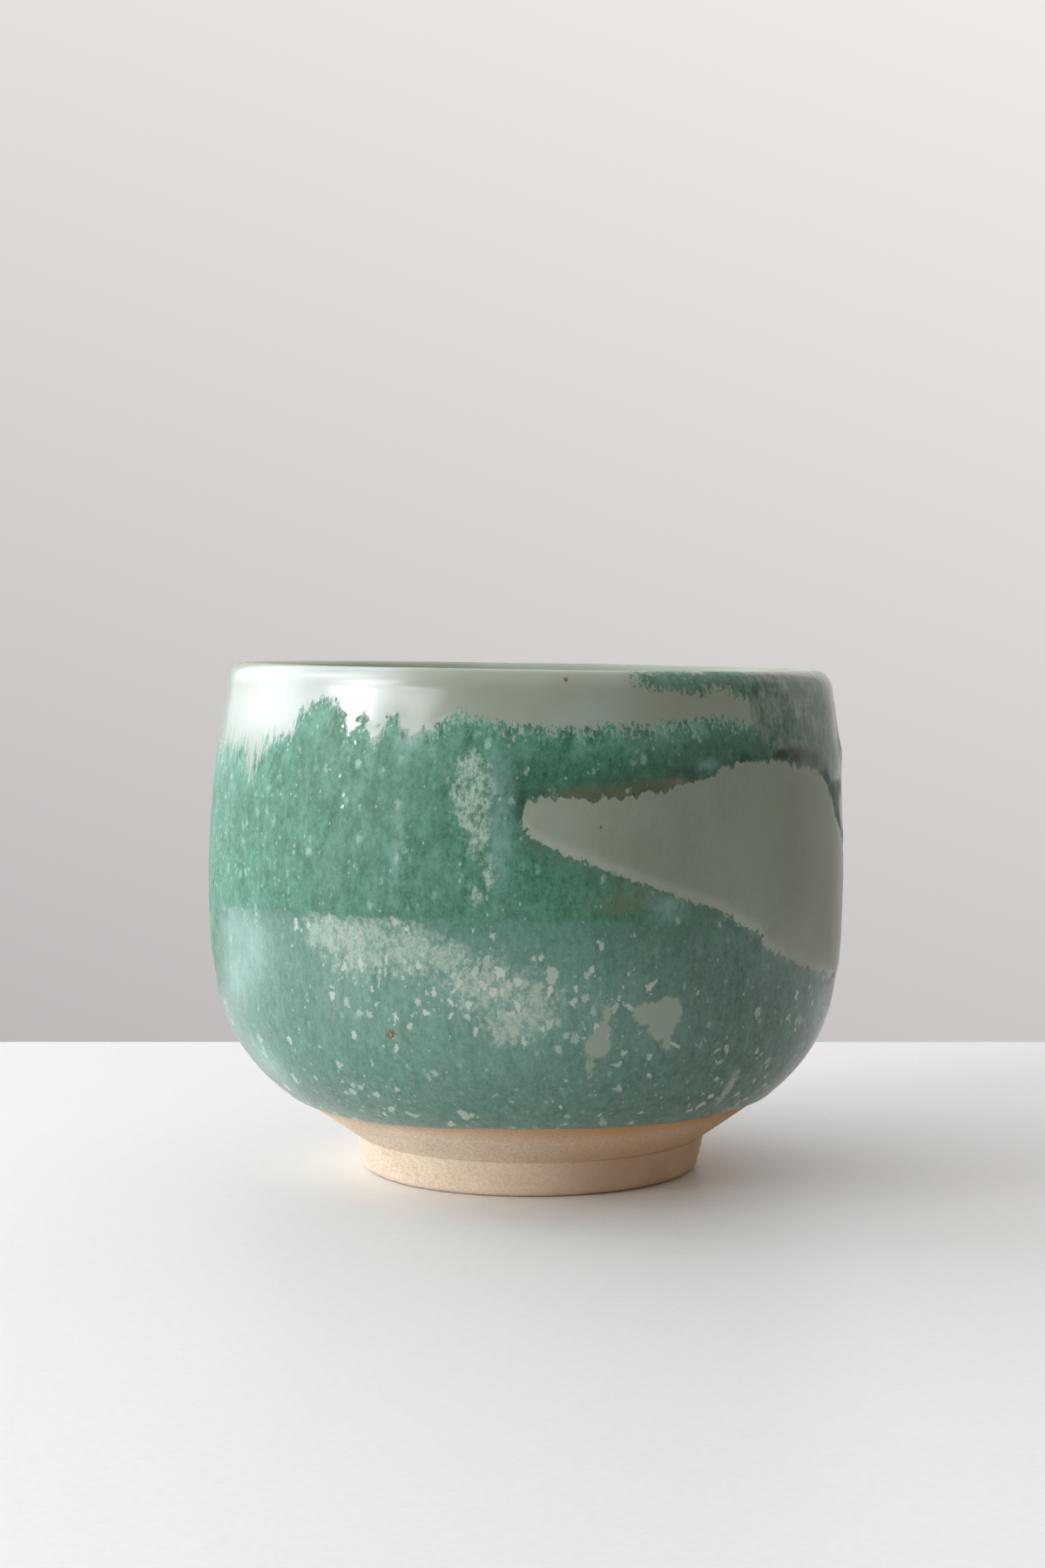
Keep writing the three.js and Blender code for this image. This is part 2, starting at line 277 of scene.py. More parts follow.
def edgeFields():
    torn = gridBearing + tear["reach"] * lumps(bare, tear["size"], 4.4)
    rimRise = riseOver(edgeAt(rimKnots, torn, 0.45), far)
    dipRise = riseOver(edgeAt(dipKnots, gridBearing, 0.5), far)
    outline = windowTop + windowLow[-2:0:-1]
    window = np.where(isInside, -far, insideOutline(outline, gridBearing, gridHeight))
    overTop = riseOver(np.interp(gridBearing, *np.array(windowTop).T), -far)
    overLow = riseOver(np.interp(gridBearing, *np.array(windowLow).T), -far)
    fromGlazeLine = gridRun - gridRun[:, :1]
    return {"edges": np.stack((rimRise, dipRise, window), -1),
            "window": np.stack((overTop, overLow, fromGlazeLine), -1)}


# soft areas: bearing, height, half width and half height in millimetres
washes = {
    "cloud": [(-36, 41.6, 4.5, 3.6), (-28, 40.6, 6.5, 6), (-19, 40, 5, 4), (-13, 39, 4, 3),
              (-7, 35, 6, 4.6), (1, 32.4, 4.5, 4.8), (-3, 29, 4, 2.6), (150, 39, 12, 5),
              (-150, 40, 9, 4)],
    "speckle": [(-24, 36, 9, 5), (-6, 34, 8, 6), (9, 31.5, 8, 6), (-34, 18, 8, 2.4), (150, 34, 14, 7),
                (-150, 35, 10, 6)],
    "streak": [(-9.8, 64.2, 3.3, 4.2), (-9, 60, 3.2, 4.6), (-8, 55.4, 1.7, 3.4), (-6, 50.8, 0.9, 2.6),
               (-8.2, 47.4, 1.2, 1.6), (118, 58, 2.4, 9), (-128, 56, 2, 8)],
    "corner": [(52, 74, 9, 9), (51, 67, 4.5, 5), (62, 71, 10, 8), (74, 70, 10, 9), (84, 66, 6, 10),
               (80, 57, 5, 4)],
    "blotch": [(20.2, 30.6, 1.9, 1.8), (24.2, 30.7, 2.5, 2.3), (23.3, 28.6, 2.2, 2.0),
               (24.3, 26.6, 0.8, 1.6), (13.4, 30.8, 0.7, 1.6), (12.8, 28.4, 1.2, 1.4),
               (12, 26.3, 1.8, 2.0), (10.9, 23.7, 0.6, 1.4), (42.2, 17.9, 0.9, 2.8),
               (133, 27.4, 2.6, 1.7), (135.5, 25.6, 1.2, 2.2), (-112, 24, 2.2, 1.4),
               (-110.5, 22.4, 0.9, 1.8)],
    "dash": [(24, 77.4, 5.5, 1.6), (30, 76.9, 5, 1.7), (36, 77.6, 5, 1.8), (42, 77.2, 5, 3)],
    "blue": [(-4.4, 58, 1.8, 12), (-21.5, 56, 1.2, 8), (31.5, 65.6, 2.6, 1.1), (-20.5, 69.3, 2, 1.5),
             (24, 45.7, 3.5, 2.2), (38, 41, 5, 2.6), (46, 37, 6, 4), (66, 28, 8, 5), (112, 52, 3, 9)],
    "olive": [(16, 46.5, 5.5, 2.2), (8, 61.6, 4, 1.5), (15, 61.9, 4, 1.5), (21.5, 62.9, 3.5, 1.3)],
    "umber": [(49, 66.6, 3.5, 1.3), (55, 66.4, 4, 1.9), (61, 65.4, 4, 2.3), (66, 63.4, 3, 2.5),
              (70, 60.2, 2.2, 2.8), (74.5, 56.6, 2.6, 1.8), (-21.5, 70, 0.6, 1.1)],
    "rosy": [(25.5, 63.2, 1.8, 0.7), (55, 77.4, 4, 1.6), (66, 76.5, 5, 2.4)],
    "emerald": [(0, 48, 7, 4), (4, 66, 8, 4), (-34, 46.5, 12, 3), (-120, 45, 12, 4)],
    # pale: paler glaze at the left, partly its own colour, partly a painted window reflection and rim
    # highlight
    "pale": [(-60, 42.2, 7, 2.4), (-63, 40.5, 6, 5), (-55, 38.5, 6, 6), (-62, 34, 8, 5), (-60, 20, 6, 5),
             (-50, 74, 13, 8), (-31, 76, 9, 5)],
}
washSets = {"wash": ("cloud", "streak", "corner"), "marks": ("blotch", "dash", "blue"),
            "tones": ("olive", "emerald", "pale"), "warms": ("umber", "rosy", "speckle")}
washEdge = {"dash": (-1.2, 2.2), "corner": (-1.2, 2.2)}   # these have an outline, the others fade
cornerFade = (66, 104)   # bearings where the corner fades out round the side


def washAt(key):
    share = np.full(gridRun.shape, -9.0)
    soft = np.zeros(gridRun.shape)
    scale = math.radians(1) * np.maximum(bareR, 1.0)
    for b, h, wide, tall in washes[key]:
        turn = (gridBearing - b + 180) % 360 - 180
        away = np.hypot(turn * scale / wide, (gridHeight - h) / tall)
        share = np.maximum(share, (1 - away) * min(wide, tall))
        soft = 1 - (1 - soft) * (1 - np.exp(-1.5 * away ** 2))
    if key == "blotch":   # stays a distance
        return np.where(isInside, -9.0, share)
    if key in washEdge:
        soft = ease(share, *washEdge[key])
    if key == "corner":
        soft = soft * (1 - ease(gridBearing, *cornerFade))
    return np.where(isInside, 0.0, soft)


# thickness of the coats, with a rolled edge at the glaze line, and the slow swell of a hand-thrown wall
relief = {
    "swell": 0.16, "swellSize": 24.0, "rings": 0.05, "ringSize": 3.6, "pool": 0.05, "poolSize": 4.0,
    "throwing": 0.1, "throwingStep": 6.5, "front": 0.26, "seam": 0.07, "seamWidth": 0.9,
    "bead": 0.1, "beadAt": 1.1, "beadWidth": 0.8, "roll": 0.9,
    "lump": 0.4, "lumpBearing": 82, "lumpHeight": 65.5, "lumpWide": 5, "lumpTall": 2.6,
}


def coatThickness(fields):
    dipRise, window = fields["edges"][..., 1], fields["edges"][..., 2]
    rimRise = riseOver(edgeAt(rimKnots, gridBearing, 1.5), far)
    fromGlazeLine = fields["window"][..., 2]
    upper = np.maximum(ease(dipRise, -2.2, 2.2), ease(window, -1.2, 0.8))
    below = coat["lower"] + relief["front"] * np.cos(gridTurn) ** 2
    thick = below + (coat["upper"] - below) * upper
    thick += (coat["rim"] - coat["upper"]) * ease(rimRise, -0.5, 1.0)
    thick -= relief["seam"] * np.exp(-(window / relief["seamWidth"]) ** 2)
    thick += relief["bead"] * np.exp(-((fromGlazeLine - relief["beadAt"]) / relief["beadWidth"]) ** 2)
    rolled = thick * np.sqrt(np.clip(fromGlazeLine / relief["roll"], 0.03, 1))
    thick = np.where(fromGlazeLine < relief["roll"], rolled, thick)
    toLip = ease(gridRun, skin["crest"] - 3, skin["crest"] + 2)
    thick += (coat["liner"] - coat["rim"]) * toLip * isInside
    flow = fields["flow"]
    quiet = 1 - 0.6 * ease(gridRun, skin["crest"] - 4, skin["crest"])   # less of it at the lip
    thick += relief["swell"] * quiet * lumps(flow, relief["swellSize"], 3.1)
    thick += relief["rings"] * quiet * lumps(flow * (0.12, 0.12, 1), relief["ringSize"], 8.7)
    thick += relief["pool"] * quiet * lumps(flow, relief["poolSize"], 15.2)
    inward = gridRun - skin["crest"]
    ringed = ease(inward, 8, 18) * (1 - ease(gridRun, skin["end"] - 9, skin["end"] - 3))
    helix = inward / relief["throwingStep"] + gridBearing / 360
    thick += relief["throwing"] * ringed * np.cos(2 * math.pi * helix)
    turn = (gridBearing - relief["lumpBearing"]) * math.radians(1) * 49
    rise = gridHeight - relief["lumpHeight"]
    lump = np.exp(-(turn / relief["lumpWide"]) ** 2 - (rise / relief["lumpTall"]) ** 2)
    thick += relief["lump"] * lump * ~isInside
    return np.maximum(thick, coat["bond"] + 0.02)


gridFields = edgeFields()
for name, keys in washSets.items():
    gridFields[name] = np.stack([washAt(key) for key in keys], -1)
gridFields["flow"] = around(gridTurn, bareR, bareZ)
gridThick = coatThickness(gridFields)
gridOuter = turned(gridTurn, *along(gridRun, gridThick))
gridInner = turned(gridTurn, *along(gridRun, coat["bond"]))
roundWay = np.roll(gridOuter, -1, 0) - np.roll(gridOuter, 1, 0)
gridNormal = np.cross(roundWay, np.gradient(gridOuter, axis=1))
gridNormal /= np.linalg.norm(gridNormal, axis=-1, keepdims=True)
print("glaze surface", gridThick.min().round(3), gridThick.max().round(3))


def placed(name, data):
    piece = bpy.data.objects.new(name, data)
    bpy.context.scene.collection.objects.link(piece)
    return piece


# faces between two columns and two rows of a grid, and round a pole
def quadsAt(column, right, row, up, rows):
    corners = (column * rows + row, right * rows + row, right * rows + up, column * rows + up)
    return np.stack(corners, 1)


def fan(first, second, middle):
    return [(int(a), int(b), middle) for a, b in zip(first, second)]


def newMesh(name, points, faces, fields, normals=None, flat=0):
    data = bpy.data.meshes.new(name)
    data.from_pydata((points * mm).tolist(), [], faces)
    smooth = np.ones(len(faces), bool)
    if flat:
        smooth[-flat:] = False
    data.polygons.foreach_set("use_smooth", smooth)
    for key, values in fields.items():
        layer = data.attributes.new(key, "FLOAT_VECTOR", "POINT")
        layer.data.foreach_set("vector", values.astype(np.float32).ravel())
    data.update()
    if normals is not None:
        data.normals_split_custom_set_from_vertices(normals.tolist())
    data.validate()
    return placed(name, data)


# closed shell of one coat: outer face, face on the clay and the walls between them
def coatPiece(name, chosen, pole=False):
    columns, rows = gridRun.shape
    sameColumn = np.arange(columns)
    nextColumn = (sameColumn + 1) % columns
    faceColumn, faceRow = np.nonzero(chosen)
    quads = quadsAt(faceColumn, nextColumn[faceColumn], faceRow, faceRow + 1, rows)
    used = np.unique(quads)
    count = len(used)
    place = np.full(columns * rows, -1)
    place[used] = np.arange(count)
    outerQuads = place[quads]
    above = np.pad(chosen, ((0, 0), (0, 1)))
    below = np.pad(chosen, ((0, 0), (1, 0)))
    leftFace = np.roll(chosen, 1, 0)
    top = below & ~above
    if pole:
        top[:, -1] = False   # closed by a fan
    sides = ((above & ~below, nextColumn, 0, True), (top, nextColumn, 0, False),
             (chosen & ~leftFace, sameColumn, 1, False), (leftFace & ~chosen, sameColumn, 1, True))
    walls = []
    for mask, other, up, flip in sides:
        column, row = np.nonzero(mask)
        first, second = place[column * rows + row], place[other[column] * rows + row + up]
        walls.append(np.stack((second, first) if flip else (first, second), 1))
    walls = np.concatenate(walls)
    wallQuads = np.stack((walls[:, 0], walls[:, 1], walls[:, 1] + count, walls[:, 0] + count), 1)
    outer, inner = gridOuter.reshape(-1, 3)[used], gridInner.reshape(-1, 3)[used]
    normal = gridNormal.reshape(-1, 3)[used]
    fields = {key: np.concatenate((values.reshape(-1, 3)[used],) * 2) for key, values in gridFields.items()}
    points = np.concatenate((outer, inner))
    faces = outerQuads.tolist() + (outerQuads[:, ::-1] + count).tolist()
    normals = np.concatenate((normal, -normal))
    if pole:
        end = place[np.arange(columns) * rows + rows - 1]
        mids = np.stack((outer[end].mean(0), inner[end].mean(0)))
        middle = 2 * count
        faces += fan(end, end[nextColumn], middle)
        faces += fan(end[nextColumn] + count, end + count, middle + 1)
        points = np.concatenate((points, mids))
        normals = np.concatenate((normals, [(0, 0, 1), (0, 0, -1)]))
        fields = {key: np.concatenate((values, values[end[:2]])) for key, values in fields.items()}
    faces += wallQuads.tolist()
    return newMesh(name, points, faces, fields, normals, len(wallQuads))


def rowsBetween(first, last):
    chosen = np.zeros((gridRun.shape[0], gridRun.shape[1] - 1), bool)
    chosen[:, gridRow[first]:gridRow[last]] = True
    return chosen


isAcross = (gridBearing[:, :1] > patchSpan[0]) & (gridBearing[:, :1] < patchSpan[1])
inPatch = rowsBetween("window", "over") & isAcross
lowerCoat = coatPiece("lowerGreenCoat", rowsBetween("lower", "under"))
upperCoat = coatPiece("upperGreenCoat", rowsBetween("under", "rim") & ~inPatch)
windowCoat = coatPiece("windowCoat", inPatch)
rimCoat = coatPiece("rimCoat", rowsBetween("rim", "inside"))
linerCoat = coatPiece("linerCoat", rowsBetween("inside", "end"), True)
print("coats built")


# lathe of closed profiles for the clay
def latheGrid(r, z, columns):
    bearing = np.radians(-180 + 360 / columns * np.arange(columns))[:, None]
    return bearing, np.broadcast_to(r, (columns, len(r))), np.broadcast_to(z, (columns, len(z)))


def lathePiece(name, bearing, r, z, spot, fromGlaze, poles):
    points = turned(bearing + 0 * r, r, z).reshape(-1, 3)
    columns, rows = r.shape
    nextColumn = (np.arange(columns) + 1) % columns
    column, row = np.meshgrid(np.arange(columns), np.arange(rows - 1 if poles else rows), indexing="ij")
    column, row = column.ravel(), row.ravel()
    faces = quadsAt(column, nextColumn[column], row, (row + 1) % rows, rows).tolist()
    fields = {"flow": spot, "edges": np.stack((fromGlaze, 0 * r, 0 * r), -1)}
    fields = {key: values.reshape(-1, 3) for key, values in fields.items()}
    if poles:
        start = np.arange(columns) * rows
        end, middle = start + rows - 1, len(points)
        faces += fan(start[nextColumn], start, middle) + fan(end, end[nextColumn], middle + 1)
        points = np.concatenate((points, [points[start].mean(0), points[end].mean(0)]))
        fields = {key: np.concatenate((values, values[start[:1]], values[end[:1]]))
                  for key, values in fields.items()}
    return newMesh(name, points, faces, fields)


bareClay = {"columns": 360, "trimStep": 0.95, "ringStep": 1.3, "trim": 0.05, "wobble": 0.07,
            "spiral": 0.12, "spiralStep": 2.4, "dome": 0.5, "crisp": 0.02}


def bowlClay():
    crisp = bareClay["crisp"]
    glazeRun = runAt(coat["glazeLine"])
    shownRun = np.arange(crisp, glazeRun + 2, 0.22)
    glazedRun = np.arange(glazeRun + 2.6, skin["end"] - 0.6, 1.6)
    run = np.concatenate(([0], shownRun, glazedRun))
    inner, seat = foot["top"] - foot["width"], foot["top"] - foot["ledge"]
    bottomR = np.concatenate((np.arange(0.6, inner, 0.45), np.linspace(inner, seat, 6)[:-1], [seat - crisp]))
    bottomZ = np.full_like(bottomR, foot["height"])
    first = len(bottomR)   # where the outside starts
    upR, upZ = along(run)
    profileR, profileZ = np.concatenate((bottomR, upR)), np.concatenate((bottomZ, upZ))
    bearing, r, z = latheGrid(profileR, profileZ, bareClay["columns"])
    turn = np.degrees(bearing) / 360
    nr = np.interp(run, skin["run"], skin["nr"])
    nz = np.interp(run, skin["run"], skin["nz"])
    spot = around(bearing, r, z)
    wobble = lumps(spot, 5.0, 2.2)[:, first:]
    shown = ease(run, 0, 0.8) * (1 - ease(run, glazeRun - 0.5, glazeRun + 0.6))
    groove = np.abs(((run / bareClay["trimStep"] + turn + 0.35 * wobble) % 1) - 0.5) * 2
    push = shown * (-bareClay["trim"] * groove ** 3 + bareClay["wobble"] * wobble)
    recess = ease(bottomR, 0, 3) * (1 - ease(bottomR, inner - 2.5, inner - 0.5))
    spiral = bareClay["spiral"] * np.sin((bottomR / bareClay["spiralStep"] - turn) * 2 * math.pi)
    r, z = r.copy(), z.copy()
    z[:, :first] += recess * spiral + bareClay["dome"] * (1 - ease(bottomR, 0, inner - 1))
    r[:, first:] += push * nr
    z[:, first:] += push * nz
    return lathePiece("bowlClay", bearing, r, z, spot, z - coat["glazeLine"], True)


def footClay():
    inner = foot["top"] - foot["width"]
    innerLow = inner + foot["flare"]
    edge = (foot["edge"] * 1.3, foot["edge"] * 1.2)
    outside = np.vstack((
        bow((foot["bottom"] - edge[0], edge[1]), edge, -90, 0, 10),
        [(foot["bottom"] + 0.3, 2.4), (foot["bottom"] + 0.6, 3.6), (foot["top"] - 0.12, 4.7)],
        bow((foot["top"] - foot["ledge"], foot["height"] - foot["ledge"]), (foot["ledge"],) * 2, 0, 90, 6)))
    inside = np.vstack((
        [(inner + 0.2, foot["height"])],
        [(inner, foot["height"] - 0.3), (inner + 0.3, 2.6)],
        bow((innerLow + 0.8, 0.8), (0.8, 0.8), 180, 270, 8)))
    line = evenly(np.vstack((outside, inside, outside[:1])), 0.16)[:-1]
    bearing, r, z = latheGrid(line[:, 0], line[:, 1], bareClay["columns"])
    spot = around(bearing, r, z)
    shown = ease(z, 0.05, 1.0) * (1 - ease(z, foot["height"] - 0.25, foot["height"]))
    side = np.where(line[:, 0] > (inner + foot["bottom"]) / 2, 1.0, -1.0)
    wobble = lumps(spot, 4.0, 6.1)
    groove = np.abs(((z / bareClay["ringStep"] + 0.4 * wobble) % 1) - 0.5) ** 2 * 2
    r = r + side * shown * (bareClay["wobble"] * wobble - bareClay["trim"] * groove)
    return lathePiece("footClay", bearing, r, z, spot, 0 * r - 8, False)   # well under the glaze line


bowl = bowlClay()
footRing = footClay()
print("clay built")


class Wire:
    def __init__(self, tree, socket=None):
        self.tree, self.socket = tree, socket

    def make(self, kind, settings, values, output=0):
        node = self.tree.nodes.new(kind)
        for key, value in settings.items():
            setattr(node, key, value)
        for key, value in values.items():
            if isinstance(value, Wire):
                self.tree.links.new(value.socket, node.inputs[key])
            else:
                node.inputs[key].default_value = value
        return Wire(self.tree, node.outputs[output])

    def also(self, output):
        return Wire(self.tree, self.socket.node.outputs[output])

    def field(self, name):
        return self.make("ShaderNodeAttribute", {"attribute_name": name}, {}, "Vector")

    def place(self, output="Object"):
        return self.make("ShaderNodeTexCoord", {}, {}, output)

    def split(self):
        parts = self.make("ShaderNodeSeparateXYZ", {}, {0: self})
        return parts, parts.also(1), parts.also(2)

    def math(self, operation, first, second=0.0):
        return self.make("ShaderNodeMath", {"operation": operation}, {0: first, 1: second})

    def __add__(self, other):
        return self.math("ADD", self, other)

    __radd__ = __add__

    def __sub__(self, other):
        return self.math("SUBTRACT", self, other)

    def __rsub__(self, other):
        return self.math("SUBTRACT", other, self)

    def __mul__(self, other):
        return self.math("MULTIPLY", self, other)

    __rmul__ = __mul__

    def most(self, other):
        return self.math("MAXIMUM", self, other)

    def ease(self, low, high):
        values = {0: self, 1: low, 2: high}
        return self.make("ShaderNodeMapRange", {"interpolation_type": "SMOOTHSTEP"}, values)

    def sway(self, amount):
        return (self - 0.5) * amount

    def mix(self, first, second):
        return self.make("ShaderNodeMix", {"data_type": "RGBA"}, {0: self, 6: first, 7: second}, 2)

    def towards(self, other, share):
        return self.make("ShaderNodeMix", {"data_type": "RGBA"}, {0: share, 6: self, 7: other}, 2)

    def timesPlus(self, scale, shift):
        values = {0: self, 1: scale, 2: shift}
        return self.make("ShaderNodeVectorMath", {"operation": "MULTIPLY_ADD"}, values)

    def scaled(self, size, tall, seed):
        scale = (1 / size, 1 / size, 1 / (size * tall))
        return self.timesPlus(scale, (seed, seed * 1.7, seed * 2.3))

    def grain(self, size, tall=1.0, detail=2.0, rough=0.5, seed=0.0, output=0):
        spot = self.scaled(size, tall, seed)
        values = {"Vector": spot, "Scale": 1.0, "Detail": detail, "Roughness": rough}
        return self.make("ShaderNodeTexNoise", {}, values, output)

    def shaken(self, size, reach, seed):
        return self.grain(size, seed=seed, output=1).timesPlus((reach,) * 3, self)

    def cells(self, **settings):
        return self.make("ShaderNodeTexVoronoi", settings, {"Vector": self, "Scale": 1.0})

    # scattered flecks: share is how many cells hold one, size is its reach as a part of the cell
    def flecks(self, cell, tall, share, size, ragged=0.5, seed=0.0, blur=0.04):
        spot = self.shaken(cell * 0.4, ragged * cell, seed + 5).scaled(cell, tall, seed)
        near = spot.cells()
        chance, reach, other = near.also("Color").split()
        shape = (size * (0.35 + 0.65 * reach) - near).ease(-blur, blur)
        return shape * (share - chance).ease(-0.02, 0.02) * (0.45 + 0.55 * other)

    # angular chips: whole cells of a cracked pattern, shrunk from their edges
    def chips(self, cell, tall, share, wear, ragged=0.3, seed=0.0):
        spot = self.shaken(cell * 0.35, ragged * cell, seed + 5).scaled(cell, tall, seed)
        near, edge = spot.cells(), spot.cells(feature="DISTANCE_TO_EDGE")
        chance, reach, other = near.also("Color").split()
        shape = (edge + wear.sway(0.45) - 0.09 - 0.16 * reach).ease(-0.02, 0.04)
        return shape * (share - chance).ease(-0.01, 0.01) * (0.5 + 0.5 * other)

    def distance(self, point):
        return self.make("ShaderNodeVectorMath", {"operation": "DISTANCE"}, {0: self, 1: point}, "Value")


# a colour given as it looks on screen
def tint(red, green, blue):
    shares = [part / 255 for part in (red, green, blue)]
    linear = [part / 12.92 if part <= 0.04045 else ((part + 0.055) / 1.055) ** 2.4 for part in shares]
    return (*linear, 1.0)


def newMaterial(name, **constants):
    material = bpy.data.materials.new(name)
    material.use_nodes = True
    surface = material.node_tree.nodes["Principled BSDF"]
    for key, value in constants.items():
        surface.inputs[key.replace("_", " ")].default_value = value
    return material, Wire(material.node_tree), surface


def plug(wire, surface, key):
    wire.tree.links.new(wire.socket, surface.inputs[key])


def roughen(height, surface, strength, distance):
    values = {"Strength": strength, "Distance": distance, "Height": height}
    plug(height.make("ShaderNodeBump", {}, values, "Normal"), surface, "Normal")


glaze = {key: tint(*shade) for key, shade in {
    "deep": (36, 84, 64), "green": (30, 112, 76), "olived": (60, 116, 90), "light": (128, 189, 168),
    "emerald": (40, 104, 77), "olive": (111, 125, 95), "brown": (66, 70, 48), "belt": (38, 76, 60),
    "sky": (132, 170, 162), "grey": (102, 122, 106), "lowDeep": (48, 81, 64), "low": (97, 147, 133),
    "lowGrey": (104, 140, 124), "lowLight": (144, 186, 172), "pale": (168, 207, 203),
    "patch": (149, 165, 150), "rim": (162, 177, 166), "rimWarm": (156, 167, 151),
    "rimCool": (224, 233, 230), "window": (151, 164, 149), "windowDark": (142, 154, 138),
    "windowShade": (119, 123, 102), "halo": (180, 187, 176), "blob": (174, 210, 200),
    "fleck": (196, 208, 196), "frostLight": (183, 197, 184), "frostGap": (134, 166, 151),
    "laceLight": (174, 198, 182), "laceGap": (96, 138, 117), "cornerGreen": (76, 110, 92),
    "cornerGrey": (126, 142, 124), "umber": (50, 50, 31), "rosy": (152, 130, 116),
    "iron": (104, 62, 38), "ironLight": (190, 150, 110),
}.items()}


# lays glazes over a colour, one after another: the share of each and its name
def layered(colour, *layers):
    for share, name in layers:
        colour = share.mix(colour, glaze[name])
    return colour


# shared noises of the glaze, all in millimetres; further on n holds them and f the fields of the grid
def glazeNoises(flow):
    x = flow.split()[0]
    return SimpleNamespace(
        broad=flow.grain(15, 1.4, 2, seed=3), bands=flow.grain(4.5, 6, 2, seed=7),
        middle=flow.grain(2.6, 1.6, 2, seed=11), fine=flow.grain(0.8, 1.6, 3, 0.6, seed=17),
        grain=flow.grain(0.3, 1.5, 1, seed=23), teeth=flow.grain(0.7, 3, 2, 0.6, seed=29),
        tatter=flow.grain(1.15, 1.3, 5, 0.72, seed=31), lace=flow.grain(0.62, 1.5, 4, 0.7, seed=37),
        streaks=flow.grain(1.7, 5, 4, 0.68, seed=61), runs=flow.grain(0.55, 9, 3, 0.65, seed=83),
        frost=flow.grain(0.38, 1.4, 3, 0.6, seed=89), strokes=flow.grain(0.5, 2.4, 3, 0.65, seed=97),
        # the sides of the cup: the left also carries a painted sheen on the green, the right painted shade
        # on the lower coat
        left=(0 - x).ease(24, 42), right=x.ease(1, 37))


# a value that the noises push up and down, each by its own amount
def stirred(n, value, **amounts):
    for key, amount in amounts.items():
        value = value + getattr(n, key).sway(amount)
    return value


# frosted glaze: where it lies, as a soft share, and its colour of light grains and darker gaps
def frosting(n, weave, share, kind, ragged):
    cover = stirred(n, share, tatter=ragged * 1.2, lace=ragged * 0.6).ease(0.15, 0.9)
    grains = stirred(n, 0.52, **{weave: 0.9, "tatter": 1.7, "grain": 0.4})
    colour = grains.ease(0.25, 0.75).mix(glaze[kind + "Gap"], glaze[kind + "Light"])
    return cover * share.ease(0.02, 0.3), colour


# how strongly each layer of the upper coat shows
greenLook = {
    "emerald": 0.3, "foot": 0.12, "grey": 0.6, "pale": 0.3, "left": 0.28, "dark": 0.55, "bright": 0.45,
    "crest": 0.62, "mottle": 0.6, "skin": 1.1, "olive": 0.58, "milky": 0.75, "rosy": 0.6,
    "blobs": 0.65, "dots": 0.7, "fall": 0.8, "drops": 0.75, "lace": 0.9, "ragged": 1.5,
}


def upperColour(flow, n, f):
    look = SimpleNamespace(**greenLook)
    shade = stirred(n, 0.5, fine=0.8, grain=0.35, frost=0.35, streaks=0.5, bands=0.25, middle=0.5)
    hue = stirred(n, 0.5, middle=1.3, bands=0.9, broad=1.0)
    base = hue.ease(0.15, 0.85).mix(glaze["green"], glaze["olived"])
    nearDip = 1 - f.dipRise.ease(0, 5)
    base = layered(
        base, (f.emerald * look.emerald + nearDip * look.foot, "emerald"),
        (n.right * look.grey, "grey"),
        # lighter towards the left: a painted sheen of the window light, with the pale areas
        (f.pale * look.pale + n.left * look.left, "light"))
    dark, bright = base.towards(glaze["deep"], look.dark), base.towards(glaze["light"], look.bright)
    colour = shade.ease(0.1, 0.9).mix(dark, bright)

    # darker towards the window, with a thin olive skin that stops just above it, mottled along its foot
    away = 0 - f.window
    above = f.overTop.ease(-1.0, 0.5)
    clouded = (0.4 + n.tatter * 0.7 + n.middle.sway(1.2)).ease(0.3, 1.1)
    crest = f.rimRise.ease(-7, 0) * (1 - f.rimRise.ease(0.8, 2.5) * 0.8)
    crest = crest * above * (n.tatter + n.middle * 0.5).ease(0.6, 0.95)
    belt = (1 - away.ease(0.3, 8.0)) * above * clouded
    mottle = (1 - away.ease(0.5, 4.0)) * (1 - above) * (n.tatter - 0.36).ease(0, 0.25)
    skinEdge = away - n.middle * 4.0 + n.tatter.sway(2.0)
    thinSkin = (1 - skinEdge.ease(-1.0, 0.4)) * above * f.olive
    milky = f.blue * (n.fine + n.middle * 0.5).ease(0.3, 0.9)

    # milky blobs and dots, most of them at the left, and what falls from the rim
    leftward = 1 - n.right
    blobs = flow.flecks(1.8, 1.7, 0.1 + 0.3 * leftward + 0.45 * n.left, 0.28, 0.7, seed=41, blur=0.13)
    dots = flow.flecks(0.75, 1.6, 0.06 + 0.1 * leftward + 0.28 * n.left, 0.26, 0.5, seed=43, blur=0.08)
    under = f.rimRise.ease(-4.5, 0.5) * (1 - f.rimRise.ease(0.8, 2.0)) * (1 - 0.8 * n.left)
    fall = (n.strokes - (0.72 - 0.22 * under)).ease(-0.02, 0.04)
    drops = flow.flecks(0.95, 1.3, 0.7 * under, 0.32, 0.3, seed=71, blur=0.06)
    colour = layered(
        colour, (crest * look.crest, "light"), (belt, "belt"), (mottle * look.mottle, "grey"),
        (thinSkin * look.skin, "brown"), (f.olive * look.olive, "olive"),
        (milky * look.milky, "sky"), (f.rosy * look.rosy, "rosy"),
        (blobs * look.blobs, "blob"), (dots * look.dots, "fleck"),
        ((fall * look.fall).most(drops * look.drops), "rim"))
    cover, lace = frosting(n, "strokes", f.streak, "lace", look.ragged)
    return (cover * look.lace).mix(colour, lace)


# how strongly each layer of the lower coat shows
lowLook = {
    "right": 0.9, "pale": 0.8, "foot": 0.25, "blue": 0.3, "haze": 0.4, "dark": 0.4, "bright": 0.4,
    "veil": 0.55, "blobs": 0.6, "frost": 0.75, "ragged": 1.7, "dots": 0.75, "chips": 0.85, "flakes": 0.9,
}


